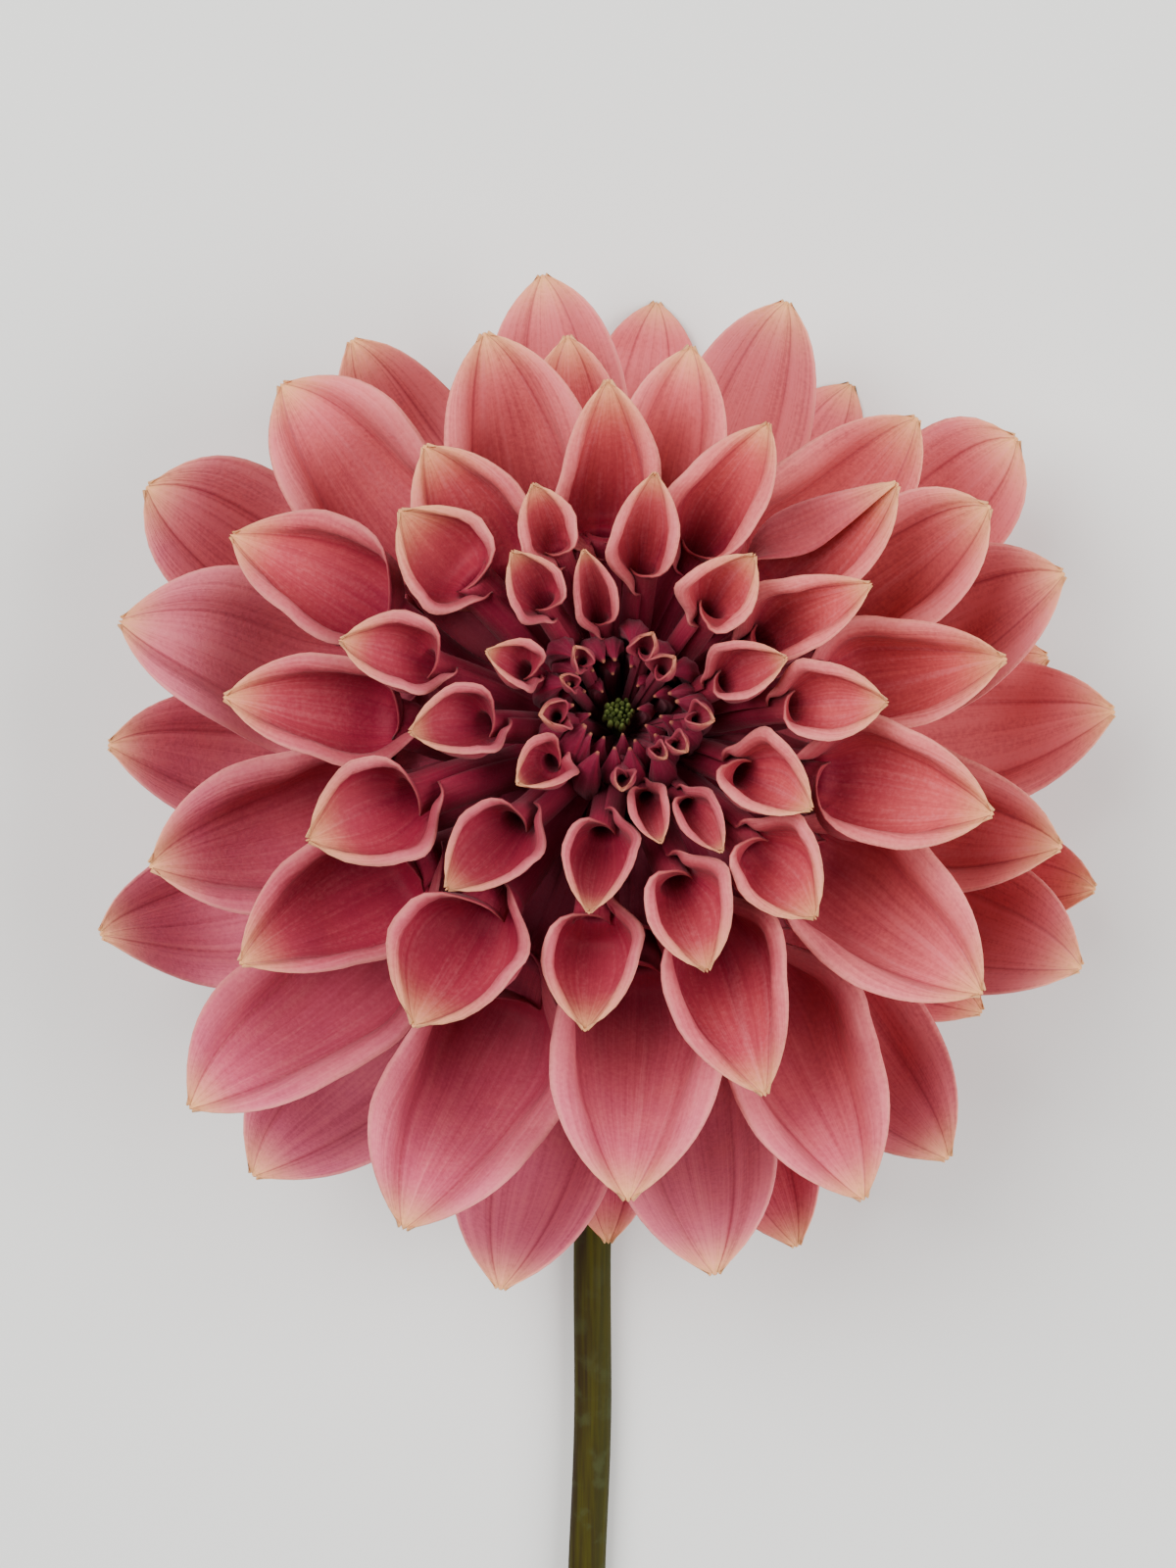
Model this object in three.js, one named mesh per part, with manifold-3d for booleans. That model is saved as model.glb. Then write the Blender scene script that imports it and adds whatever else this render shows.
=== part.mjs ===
// A cut dahlia bloom with its stem, laid face up. Millimetres, +Z up, everything rests on z = 0.
// +X is to the right of the bloom's face, +Y points away from the stem.
// The head frame has its origin in the middle of the receptacle and its Z along the axis of the bloom.
import * as THREE from 'three';
import { mergeVertices } from 'three/addons/utils/BufferGeometryUtils.js';
import Module from 'manifold-3d';

const wasm = await Module();
wasm.setup();

// ---- driving dimensions ----
const HEAD = new THREE.Vector3(2.9, 85.9, 52.2); // middle of the receptacle
const HEAD_TILT = 9; // degrees that the bloom's axis leans from upright towards +Y
const RECEPTACLE_RADIUS = 17;
const GAP = 0.3; // clearance between pieces that touch

// The front of the bloom is a low dome with a sunk eye.
const CREST_REACH = 40; // distance from the axis of the dome's highest ring
const CREST_HEIGHT = 64;
const EYE_DEPTH = 18; // how far the eye lies below the crest
const RIM_REACH = 126;
const RIM_FALL = 68; // how far the dome has dropped at RIM_REACH
const DOME_ROUNDNESS = 2.3; // power of the dome's fall outside the crest
const EYE_ROUNDNESS = 1.5; // power of the eye's fall inside it
const LOWER_SIDE_STRETCH = 0.07; // the florets on the stem's side reach further

const STEM_DIAMETER = 9;
const STEM_LENGTH = 280; // cut end to the middle of the head, along Y
const STEM_BORE = 4; // hollow pith at the cut end
const STEM_BORE_DEPTH = 12;
const STEM_LIFT = 0.2; // the stem touches the surface where its bend ends and is this far off it elsewhere
const NECK_DEPTH = 20; // receptacle centre to the top of the stem
const STEM_SOCKET = 1; // how far the stem's top reaches into the receptacle
const NECK_RADIUS = 5; // of the receptacle's foot, a little wider than the stem
const BEND_POINTS = 5;
// The stem's sideways sway: [distance from the head along the stem's run, offset from the head].
const STEM_SWAY = [[60, -3.5], [116, -5.6], [162, -5.6], [198, -7], [240, -8.5]];

const PETAL_THICKNESS = 0.9;

// ---- the florets, read from the bloom's face ----
// Each whorl: foot = elevation of the foot on the receptacle, droop = how far the tip leans out of
// the line from the middle, shut = the part of its length that stays rolled into a tube, open = where
// it is widest open, roll = turn of the margins there and tipRoll at the tip (degrees from the midrib),
// belly = where the blade is widest, band = least and greatest height of a tip over the receptacle's
// middle, footWidth = width at the foot as a part of the greatest width, where it isn't FOOT_WIDTH.
// Each floret: [azimuth in degrees from +X, reach of its tip from the axis, breadth across the blade].
const WHORLS = {
  fifth: {
    foot: 70, droop: 8, shut: 0.79, open: 0.97, roll: 140, tipRoll: 120, belly: 0.82, band: [0, 64],
    florets: [[12, 35, 13], [104, 31, 10], [127, 37, 13], [162, 29, 11], [191, 44, 16],
      [221, 28, 12], [229, 54, 18], [262, 46, 16], [285, 32, 9], [302, 39, 10]],
  },
  fourth: {
    foot: 57, droop: 12, shut: 0.66, open: 0.93, roll: 130, tipRoll: 110, belly: 0.75, band: [0, 64],
    florets: [[46, 40, 16], [81, 47, 15], [112, 48, 13], [139, 61, 22], [169, 59, 17], [205, 71, 24],
      [238, 80, 28], [264, 69, 21], [287, 60, 19], [311, 61, 20], [328, 46, 17], [358, 55, 17]],
  },
  third: {
    foot: 38, droop: 16, shut: 0.54, open: 0.88, roll: 115, tipRoll: 90, belly: 0.7, band: [0, 56],
    florets: [[7, 82, 26], [25, 58, 18], [43, 76, 24], [62, 67, 20], [92, 69, 23], [126, 71, 27],
      [155, 92, 26], [179, 83, 23], [214, 96, 30], [290, 87, 27], [343, 81, 27]],
  },
  second: {
    foot: 17, droop: 16, shut: 0.42, open: 0.82, roll: 95, tipRoll: 70, belly: 0.66, band: [22, 38],
    florets: [[30, 93, 28], [47, 99, 29], [79, 83, 24], [97, 92, 24], [109, 90, 33], [134, 108, 31],
      [197, 106, 35], [222, 124, 31], [247, 118, 37], [271, 103, 37], [297, 115, 31], [322, 97, 32],
      [344, 99, 30]],
  },
  outer: {
    foot: -5, droop: 14, shut: 0.28, open: 0.72, roll: 70, tipRoll: 50, belly: 0.62, band: [6, 16],
    florets: [[2, 111, 36], [20, 106, 34], [38, 117, 32], [69, 108, 32], [99, 109, 32], [123, 112, 32],
      [151, 123, 37], [167, 114, 35], [180, 115, 34], [200, 124, 38], [230, 126, 36], [258, 124, 36],
      [280, 120, 37], [308, 118, 36], [333, 114, 36]],
  },
  back: {
    foot: -26, droop: 10, shut: 0.2, open: 0.6, roll: 45, tipRoll: 35, belly: 0.6,
    florets: [[15, 107, 28], [38, 100, 28], [59, 111, 28], [85, 115, 28], [108, 99, 28], [132, 100, 28],
      [163, 102, 28], [196, 102, 28], [236, 106, 28], [269, 111, 28], [290, 119, 30], [326, 103, 28],
      [345, 115, 30]],
  },
  bract: {
    foot: -44, droop: 14, shut: 0, open: 0.5, roll: 40, tipRoll: 25, belly: 0.55, footWidth: 0.55,
    florets: [[18, 31, 11], [90, 30, 10], [162, 32, 11], [234, 30, 10], [306, 31, 11]],
  },
};
const FOOT_WIDTH = 0.2;
const BRACT_HEIGHT = -36; // of the bracts' tips, bent back under the head
const BACK_HEIGHT = -20; // mean height of the back whorl's tips
const BACK_SAG = 22; // its tips on the far side hang this much lower, but not below the surface
const TIP_CLEARANCE = 0.9; // height of the upper face of a tip that rests on the surface

// ---- small helpers ----
const radians = THREE.MathUtils.degToRad;
const smooth = (x) => THREE.MathUtils.smoothstep(x, 0, 1);
const mix = THREE.MathUtils.lerp;

function onSphere(azimuth, elevation) {
  const a = radians(azimuth);
  const e = radians(elevation);
  return new THREE.Vector3(Math.cos(a) * Math.cos(e), Math.sin(a) * Math.cos(e), Math.sin(e));
}

function tipHeight(name, azimuth, reach) {
  const downhill = Math.sin(radians(azimuth));
  if (name === 'bract') return BRACT_HEIGHT;
  if (name === 'back') {
    const lean = radians(HEAD_TILT);
    const surface = (TIP_CLEARANCE - HEAD.z + reach * downhill * Math.sin(lean)) / Math.cos(lean);
    return Math.max(surface, BACK_HEIGHT - BACK_SAG * downhill);
  }
  const r = reach / (1 - LOWER_SIDE_STRETCH * downhill);
  if (r < CREST_REACH) return CREST_HEIGHT - EYE_DEPTH * (1 - r / CREST_REACH) ** EYE_ROUNDNESS;
  const drop = RIM_FALL * ((r - CREST_REACH) / (RIM_REACH - CREST_REACH)) ** DOME_ROUNDNESS;
  const [least, greatest] = WHORLS[name].band;
  return THREE.MathUtils.clamp(CREST_HEIGHT - drop, least, greatest);
}

// ---- one floret ----
// The midrib is a cubic curve that leaves the receptacle squarely. Across it the blade turns up on both
// sides by an angle that grows with the distance from the midrib: a closed roll near the foot, a cup
// further out. The blade is as wide as 2 * halfWidth along its own surface.
const SHUT_ROLL = 150; // degrees: the margins of the tube nearly meet
const TIP_WIDTH = 0.05;
const TIP_TAPER = 1.9; // power of the narrowing from the belly to the tip
const MARGIN_CURL = 0.45; // how far the turn of an open blade gathers at its margins
const FOOT_PULL = 0.42; // how far the midrib runs on in its first direction, as a part of its length
const TIP_PULL = 0.3;
const FOOT_SWING = 0.6; // part of the way that a foot moves towards its even place round the receptacle
const MOST_SWING = 12; // degrees
const SECTION_PARTS = 16;

function blade(name, index, steps, across, grow = 0) {
  const whorl = WHORLS[name];
  const [azimuth, reach, breadth] = whorl.florets[index];
  const height = tipHeight(name, azimuth, reach);
  const tipElevation = THREE.MathUtils.radToDeg(Math.atan2(height, reach));
  const slot = whorl.florets[0][0] + (360 * index) / whorl.florets.length;
  const turnBack = ((azimuth - slot + 540) % 360) - 180;
  const footAzimuth = azimuth - FOOT_SWING * THREE.MathUtils.clamp(turnBack, -MOST_SWING, MOST_SWING);
  const footWay = onSphere(footAzimuth, whorl.foot);
  const tipWay = onSphere(azimuth, tipElevation - whorl.droop);
  const foot = footWay.clone().multiplyScalar(RECEPTACLE_RADIUS + GAP - grow);
  const tip = onSphere(azimuth, 0).multiplyScalar(reach).setZ(height);
  const length = foot.distanceTo(tip);
  const midrib = new THREE.CubicBezierCurve3(
    foot,
    foot.clone().addScaledVector(footWay, FOOT_PULL * length),
    tip.clone().addScaledVector(tipWay, -TIP_PULL * length),
    tip,
  );
  const sideways = new THREE.Vector3(-Math.sin(radians(azimuth)), Math.cos(radians(azimuth)), 0);

  const rollAt = (s) => {
    const part = THREE.MathUtils.clamp((s - whorl.shut) / (whorl.open - whorl.shut), 0, 1);
    const opened = Math.sin((Math.PI / 2) * part);
    const toTip = smooth((s - whorl.open) / (1 - whorl.open));
    const roll = mix(SHUT_ROLL, whorl.roll, opened) + (whorl.tipRoll - whorl.roll) * toTip;
    return [radians(roll), 1 + MARGIN_CURL * opened];
  };
  const widthAt = (s) => {
    if (s < whorl.belly) return mix(whorl.footWidth ?? FOOT_WIDTH, 1, smooth(s / whorl.belly));
    return mix(TIP_WIDTH, 1, 1 - ((s - whorl.belly) / (1 - whorl.belly)) ** TIP_TAPER);
  };
  // One side of the cross-section: sums the direction of the surface from the midrib to the fraction u.
  const sectionAt = (roll, curl, u, halfWidth) => {
    let out = 0;
    let up = 0;
    for (let i = 0; i < SECTION_PARTS; i += 1) {
      const turn = roll * ((u * (i + 0.5)) / SECTION_PARTS) ** curl;
      out += Math.cos(turn) / SECTION_PARTS;
      up += Math.sin(turn) / SECTION_PARTS;
    }
    return [out * u * halfWidth, up * u * halfWidth];
  };
  const [widestRoll, widestCurl] = rollAt(Math.max(whorl.open, whorl.belly));
  const spans = [0.4, 0.5, 0.6, 0.7, 0.8, 0.9, 1].map((u) => sectionAt(widestRoll, widestCurl, u, 1)[0]);
  const fullWidth = breadth / 2 / Math.max(...spans);

  const inner = [];
  const outer = [];
  for (const s of steps) {
    const along = midrib.getTangent(s);
    const over = sideways.clone().addScaledVector(along, -sideways.dot(along)).normalize();
    const upward = along.clone().cross(over);
    const centre = midrib.getPoint(s);
    if (s === 1) centre.addScaledVector(along, grow);
    const [roll, curl] = rollAt(s);
    const halfWidth = fullWidth * widthAt(s);
    for (const t of across) {
      const u = Math.abs(t) * (1 + grow / halfWidth);
      const turn = roll * Math.abs(t) ** curl;
      const [out, up] = sectionAt(roll, curl, u, halfWidth);
      const side = Math.sign(t);
      const point = centre.clone().addScaledVector(over, side * out).addScaledVector(upward, up);
      const facing = upward.clone().multiplyScalar(Math.cos(turn));
      facing.addScaledVector(over, -side * Math.sin(turn));
      inner.push(point.clone().addScaledVector(facing, grow));
      outer.push(point.clone().addScaledVector(facing, -PETAL_THICKNESS - grow));
    }
  }
  return shell(inner, outer, steps.length, across.length);
}

// A closed shell from two grids of points: the inner face, the outer face and a strip round the rim.
function shell(inner, outer, rows, columns) {
  const points = [...inner, ...outer];
  const faces = [];
  const back = rows * columns;
  const quad = (a, b, c, d) => faces.push(a, b, c, a, c, d);
  for (let i = 0; i < rows - 1; i += 1) {
    for (let j = 0; j < columns - 1; j += 1) {
      const a = i * columns + j;
      const b = a + columns;
      quad(a, b, b + 1, a + 1);
      quad(back + a, back + a + 1, back + b + 1, back + b);
    }
  }
  const rim = [];
  for (let j = 0; j < columns - 1; j += 1) rim.push(j);
  for (let i = 0; i < rows - 1; i += 1) rim.push(i * columns + columns - 1);
  for (let j = columns - 1; j > 0; j -= 1) rim.push((rows - 1) * columns + j);
  for (let i = rows - 1; i > 0; i -= 1) rim.push(i * columns);
  rim.forEach((a, k) => {
    const b = rim[(k + 1) % rim.length];
    quad(a, b, back + b, back + a);
  });
  const geometry = new THREE.BufferGeometry().setFromPoints(points);
  geometry.setIndex(faces);
  return geometry;
}

// ---- joining and cutting ----
function solidOf(geometry) {
  const bare = geometry.clone();
  bare.deleteAttribute('normal');
  bare.deleteAttribute('uv');
  const merged = mergeVertices(bare, 1e-4);
  return new wasm.Manifold(new wasm.Mesh({
    numProp: 3,
    vertProperties: merged.attributes.position.array,
    triVerts: new Uint32Array(merged.index.array),
  }));
}

function geometryOf(solid) {
  const mesh = solid.getMesh();
  const geometry = new THREE.BufferGeometry();
  geometry.setAttribute('position', new THREE.BufferAttribute(mesh.vertProperties, 3));
  geometry.setIndex(new THREE.BufferAttribute(mesh.triVerts, 1));
  geometry.computeVertexNormals();
  return geometry;
}

const largest = (solid) => solid.decompose().reduce((a, b) => (a.volume() > b.volume() ? a : b));

// ---- materials ----
const finish = (color, roughness) => new THREE.MeshStandardMaterial({ color, roughness, metalness: 0 });
const SALMON = 0xc8686a;
const DEEP_ROSE = 0xa84458;
const LEAF_GREEN = 0x7d8a45;
const OLIVE = 0x6d6f2c;

function piece(name, geometry, material) {
  const mesh = new THREE.Mesh(geometry, material);
  mesh.name = name;
  return mesh;
}

const bloom = new THREE.Group();
bloom.position.copy(HEAD);
bloom.rotation.x = -radians(HEAD_TILT);

// ---- stem: a round stalk that ends in the swollen receptacle and lies along the surface ----
function receptacle() {
  const r = RECEPTACLE_RADIUS;
  const profile = [new THREE.Vector2(0, -NECK_DEPTH), new THREE.Vector2(NECK_RADIUS, -NECK_DEPTH)];
  for (let elevation = -50; elevation < 90; elevation += 14) {
    profile.push(new THREE.Vector2(r * Math.cos(radians(elevation)), r * Math.sin(radians(elevation))));
  }
  profile.push(new THREE.Vector2(0, r));
  return new THREE.LatheGeometry(profile, 20).rotateX(Math.PI / 2);
}

// The stalk leaves along the bloom's axis, turns in one round bend and then lies flat.
function stemPath() {
  const lean = radians(HEAD_TILT);
  const top = new THREE.Vector3(0, -Math.sin(lean), -Math.cos(lean));
  top.multiplyScalar(NECK_DEPTH - STEM_SOCKET).add(HEAD);
  const lying = STEM_DIAMETER / 2 + STEM_LIFT;
  const bend = (top.z - lying) / (1 - Math.sin(lean));
  const points = [];
  for (let k = 0; k <= BEND_POINTS; k += 1) {
    const angle = radians(mix(HEAD_TILT, 90, k / BEND_POINTS));
    points.push(new THREE.Vector3(
      top.x,
      top.y - bend * (Math.cos(lean) - Math.cos(angle)),
      top.z - bend * (Math.sin(angle) - Math.sin(lean)),
    ));
  }
  STEM_SWAY.forEach(([run, offset]) => {
    points.push(new THREE.Vector3(HEAD.x + offset, HEAD.y - run, lying));
  });
  const end = points[points.length - 1];
  points.push(new THREE.Vector3(end.x, HEAD.y - STEM_LENGTH, lying));
  return new THREE.CatmullRomCurve3(points);
}

function stem() {
  const round = new THREE.Shape().absarc(0, 0, STEM_DIAMETER / 2, 0, 2 * Math.PI);
  const path = stemPath();
  const stalk = new THREE.ExtrudeGeometry(round, { steps: 40, curveSegments: 6, extrudePath: path });
  const cut = path.getPoint(1);
  const bore = new THREE.CylinderGeometry(STEM_BORE / 2, STEM_BORE / 2, 2 * STEM_BORE_DEPTH, 8);
  bore.translate(cut.x, cut.y, cut.z);
  bloom.updateMatrixWorld();
  const crown = solidOf(receptacle().applyMatrix4(bloom.matrixWorld));
  return geometryOf(solidOf(stalk).subtract(solidOf(bore)).add(crown));
}

// ---- heart: the packed buds of the eye, with the rolled florets of the two inner whorls round them ----
const EYE_REACH = 19; // half the width of the packed buds at the front
const BUD_FOOT_REACH = 7.5;

function buds() {
  const eye = CREST_HEIGHT - EYE_DEPTH;
  const foot = RECEPTACLE_RADIUS + GAP;
  return new THREE.LatheGeometry([
    new THREE.Vector2(0, foot),
    new THREE.Vector2(BUD_FOOT_REACH, foot),
    new THREE.Vector2(0.8 * EYE_REACH, 0.57 * eye),
    new THREE.Vector2(EYE_REACH, 0.85 * eye),
    new THREE.Vector2(EYE_REACH, eye + 4),
    new THREE.Vector2(0.6 * EYE_REACH, eye + 5),
    new THREE.Vector2(0, eye),
  ], 16).rotateX(Math.PI / 2);
}

const TRUMPET_STEPS = [0, 0.4, 0.75, 0.9, 1];
const TRUMPET_ACROSS = [-1, -0.5, 0, 0.5, 1];
const laid = [solidOf(receptacle())]; // the space that each piece made so far takes up

let heart = solidOf(buds());
laid.push(solidOf(buds().scale(1.03, 1.03, 1.03)));
for (const name of ['fifth', 'fourth']) {
  WHORLS[name].florets.forEach((row, index) => {
    heart = heart.add(solidOf(blade(name, index, TRUMPET_STEPS, TRUMPET_ACROSS)));
    laid.push(solidOf(blade(name, index, TRUMPET_STEPS, TRUMPET_ACROSS, GAP)));
  });
}
bloom.add(piece('heart', geometryOf(largest(heart)), finish(DEEP_ROSE, 0.55)));

// ---- petals: every floret of the four outer whorls is a piece of its own ----
const PETAL_STEPS = [0, 0.2, 0.42, 0.6, 0.76, 0.9, 1];
const PETAL_ACROSS = [-1, -0.6, -0.2, 0.2, 0.6, 1];

let number = 0;
for (const name of ['third', 'second', 'outer', 'back', 'bract']) {
  WHORLS[name].florets.forEach((row, index) => {
    let petal = solidOf(blade(name, index, PETAL_STEPS, PETAL_ACROSS));
    for (const neighbour of laid) petal = petal.subtract(neighbour);
    laid.push(solidOf(blade(name, index, PETAL_STEPS, PETAL_ACROSS, GAP)));
    number += 1;
    const label = name === 'bract' ? `bract_${index + 1}` : `petal_${String(number).padStart(2, '0')}`;
    const colour = name === 'bract' ? LEAF_GREEN : SALMON;
    bloom.add(piece(label, geometryOf(largest(petal)), finish(colour, 0.55)));
  });
}

const flower = new THREE.Group();
flower.add(bloom);
flower.add(piece('stem', stem(), finish(OLIVE, 0.5)));
export default flower;
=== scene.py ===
"""A large salmon-pink dahlia, cut with its stem and laid face up on a pale surface.

Shapes are worked out in millimetres and become metres when a mesh is made. The head frame has its origin
in the middle of the receptacle and its third axis along the axis of the bloom. Every floret is one blade
that is rolled into a tube at its foot and opens towards its tip.
"""

import bpy
import numpy as np
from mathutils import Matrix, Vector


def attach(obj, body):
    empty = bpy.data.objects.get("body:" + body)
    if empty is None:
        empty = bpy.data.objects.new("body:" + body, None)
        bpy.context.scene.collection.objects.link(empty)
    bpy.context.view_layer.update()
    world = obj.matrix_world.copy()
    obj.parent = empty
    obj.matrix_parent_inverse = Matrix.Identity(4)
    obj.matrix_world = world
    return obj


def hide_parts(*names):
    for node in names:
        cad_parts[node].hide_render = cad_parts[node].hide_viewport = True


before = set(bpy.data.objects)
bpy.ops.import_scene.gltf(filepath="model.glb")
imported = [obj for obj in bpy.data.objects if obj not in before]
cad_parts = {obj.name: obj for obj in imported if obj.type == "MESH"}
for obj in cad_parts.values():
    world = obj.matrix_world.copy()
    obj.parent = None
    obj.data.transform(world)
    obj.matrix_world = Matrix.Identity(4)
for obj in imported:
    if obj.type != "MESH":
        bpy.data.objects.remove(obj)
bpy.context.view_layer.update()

MM = 0.001
GOLDEN_ANGLE = 137.508

# ---- driving sizes, as in the part ----
HEAD = np.array([2.9, 85.9, 52.2])
HEAD_TILT = 9
RECEPTACLE_RADIUS = 17
CREST_REACH = 40
CREST_HEIGHT = 64
EYE_DEPTH = 18
EYE_ROUNDNESS = 1.5
RIM_REACH = 126
RIM_FALL = 68
DOME_ROUNDNESS = 2.3
LOWER_SIDE_STRETCH = 0.07
BACK_HEIGHT = -20
BACK_SAG = 22
BRACT_HEIGHT = -36
TIP_CLEARANCE = 0.9
STEM_DIAMETER = 9
STEM_LENGTH = 280
STEM_BORE = 4
STEM_BORE_DEPTH = 12
STEM_LIFT = 0.2
NECK_DEPTH = 20
STEM_SWAY = [(60, -3.5), (116, -5.6), (162, -5.6), (198, -7), (240, -8.5)]

# ---- the florets ----
# foot: elevation of the foot on the receptacle.
# droop: how far the tip leans out of the line from the middle.
# shut, open: shares of the length where the tube begins to open and where it is widest open.
# roll, tip_roll: turn of the walls where it is widest open and at the tip.
# belly, taper: share of the length where the blade is widest, and how full it stays from there to the tip.
# blush: share of the length where the deep colour of the throat ends; that colour is partly the floret's
# own and partly painted shade deep in the tube.
# lip, flare: width of the margin that turns out again, and its turn.
# crease: fold on each side of the midrib.
# band: least and greatest height of a tip.
# sink: the most that a row of points is pressed down to lie under the florets before it.
# dusk: how far the colour goes from salmon to burgundy, and below 0 to pale rose, which is painted light
# that lifts the outer whorls out of the shade of the florets above.
# pale: how pale the lip is; the paleness is partly the lip's own colour and partly painted light on the
# turned-out margin.
# florets: azimuth, reach of the tip from the axis and breadth across. A fourth number, where it was
# measured, is how far from the axis the mouth begins.
WHORLS = {
    "fifth": dict(
        foot=70, droop=2, shut=0.60, open=0.86, roll=122, tip_roll=66, belly=0.76, taper=2.5, blush=1.12,
        lip=3.3, flare=134, crease=4, band=(0, 64), sink=3.5, dusk=0.33, pale=0.50,
        florets=[(12, 35, 13, 18.2), (104, 31, 10, 15.5), (127, 37, 13, 22), (162, 29, 11, 17.5),
                 (191, 44, 16, 23.5), (221, 28, 12, 15.3), (229, 54, 18, 27.6), (262, 46, 16, 22.5),
                 (285, 32, 9, 16.3), (302, 39, 10, 21.5)]),
    "fourth": dict(
        foot=57, droop=8, shut=0.52, open=0.80, roll=116, tip_roll=58, belly=0.72, taper=2.5, blush=1.06,
        lip=4.6, flare=126, crease=10, band=(0, 64), sink=9, dusk=0.18, pale=0.46,
        florets=[(46, 40, 16, 23), (81, 47, 15, 24.5), (112, 48, 13, 31), (139, 61, 22, 35.5),
                 (169, 59, 17, 35), (205, 71, 24, 41.5), (238, 80, 28, 45), (264, 69, 21, 39.7),
                 (287, 60, 19, 34), (311, 61, 20, 36), (328, 46, 17, 24.5), (358, 55, 17, 31)]),
    "third": dict(
        foot=38, droop=14, shut=0.45, open=0.76, roll=102, tip_roll=50, belly=0.67, taper=2.5, blush=1.00,
        lip=6.6, flare=106, crease=16, band=(0, 56), sink=16, dusk=0.13, pale=0.38,
        florets=[(7, 82, 26), (25, 58, 18), (43, 76, 24), (62, 67, 20), (92, 69, 23), (126, 71, 27),
                 (155, 92, 26), (179, 83, 23), (214, 96, 30), (290, 87, 27), (343, 81, 27)]),
    "second": dict(
        foot=17, droop=16, shut=0.36, open=0.72, roll=84, tip_roll=44, belly=0.64, taper=2.5, blush=0.86,
        lip=10.5, flare=82, crease=22, band=(22, 38), sink=26, dusk=-0.24, pale=0.28,
        florets=[(30, 93, 30), (47, 99, 31), (79, 83, 25), (97, 92, 26), (109, 90, 34), (134, 108, 34),
                 (197, 106, 37), (222, 124, 34), (247, 118, 38), (271, 103, 38), (297, 115, 34),
                 (322, 97, 34), (344, 99, 33)]),
    "outer": dict(
        foot=-5, droop=14, shut=0.28, open=0.68, roll=58, tip_roll=32, belly=0.63, taper=2.4, blush=0.68,
        lip=9.5, flare=52, crease=24, band=(6, 16), sink=28, dusk=-0.48, pale=0.16,
        florets=[(2, 113, 38), (20, 106, 37), (38, 117, 35), (69, 108, 34), (99, 109, 34), (123, 112, 34),
                 (151, 123, 39), (167, 114, 38), (180, 115, 36), (200, 124, 40), (230, 126, 39),
                 (258, 124, 38), (280, 120, 39), (308, 118, 38), (333, 114, 38)]),
    "back": dict(
        foot=-26, droop=10, shut=0.20, open=0.60, roll=36, tip_roll=24, belly=0.62, taper=2.3, blush=0.54,
        lip=8.0, flare=28, crease=20, sink=28, dusk=-0.36, pale=0.14,
        florets=[(15, 107, 31), (38, 100, 31), (59, 111, 31), (85, 115, 31), (108, 99, 31),
                 (132, 100, 31), (163, 102, 31), (196, 102, 31), (236, 106, 31), (269, 111, 31),
                 (290, 119, 33), (326, 103, 31), (345, 115, 33)]),
    "bract": dict(
        foot=-44, droop=14, shut=0.0, open=0.50, roll=40, tip_roll=25, belly=0.55, taper=1.9, blush=0.20,
        lip=2.0, flare=10, crease=8, dusk=0.0, pale=0.0, foot_width=0.55,
        florets=[(18, 31, 11), (90, 30, 10), (162, 32, 11), (234, 30, 10), (306, 31, 11)]),
}
HEART_WHORLS = ("fifth", "fourth")
RAY_WHORLS = ("third", "second", "outer", "back")
# The half-open trumpets in the eye: (azimuth, reach, breadth).
EYE_FLORETS = [(36, 14, 6), (63, 15, 6), (132, 14, 5), (160, 13, 4), (194, 17, 7), (271, 20, 5),
               (306, 16, 4), (320, 18, 5), (344, 20, 6)]
EYE_WHORL = dict(
    foot=78, droop=0, shut=0.80, open=0.94, roll=116, tip_roll=70, belly=0.91, taper=2.8, blush=1.05,
    lip=1.2, flare=95, crease=0, sink=0.6, dusk=0.80, pale=0.36)
EYE_LIFT = 4  # of their tips over the dome

# What is odd about single florets, by whorl and azimuth. A number here stands in for the whorl's own.
# fold: how far one margin has folded over. turn: from the azimuth above to where the tip lies.
ODD_ONES = {
    ("fourth", 139): dict(sink=4),
    ("fourth", 311): dict(sink=3),
    ("third", 43): dict(fold=1.0, turn=-4),
    ("outer", 2): dict(turn=2),
    ("outer", 38): dict(belly=0.70, taper=3.6),
    ("second", 30): dict(belly=0.68, taper=3.2),
    ("outer", 151): dict(belly=0.66, taper=3.2),
}

# How a blade is rolled. Widths are shares of the greatest breadth, unless they say otherwise.
FOOT_WIDTH = 0.5  # of the tube's width at the mouth
TUBE_WIDTH = 0.44
TIP_WIDTH = 0.07
SHUT_ROLL = 192
TUCK = 0.30  # the margin on the clockwise side rolls this much further, so it lies inside the tube
COVER = -0.05  # and the other margin by this much, so it lies over it
TUCK_LAG = 0.07  # the tucked side opens later by this share of the length
LIP_RISE = (1.4, 0.0)  # the lip comes with a * opened + b
TUCKED_LIP_RISE = (2.4, -1.3)
LIP_FADE = 0.45  # share of the lip that is lost at the tip
LIP_MOST = 0.46  # of the half width
LIP_LEAD = 0.03  # how far before the wall ends, across the blade, the margin begins to turn out
PALE_LEAD = 0.08  # and to turn pale
MARGIN_CURL = 0.25
CREASE_AT = 0.40
CREASE_BAND = 0.12
CREASE_FROM = 0.5  # share of the length where the creases are full
FOLD_TURN = 168
FOLD_AT = 0.36  # where across the blade a folded margin turns over
FOLD_BAND = 0.26
FOLD_RUN = 0.3  # share of the length over which the fold comes
MOUTH_DEPTH = 0.45  # how far inward of the midrib the near edge of a mouth stands
OPEN_AFTER = 0.55  # of what is left of the length beyond a measured mouth
BELLY_AFTER = 0.5
FOOT_PULL = 0.42
TIP_PULL = 0.30
FOOT_SWING = 0.6
MOST_SWING = 12
MOST_LEAN = 7
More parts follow.
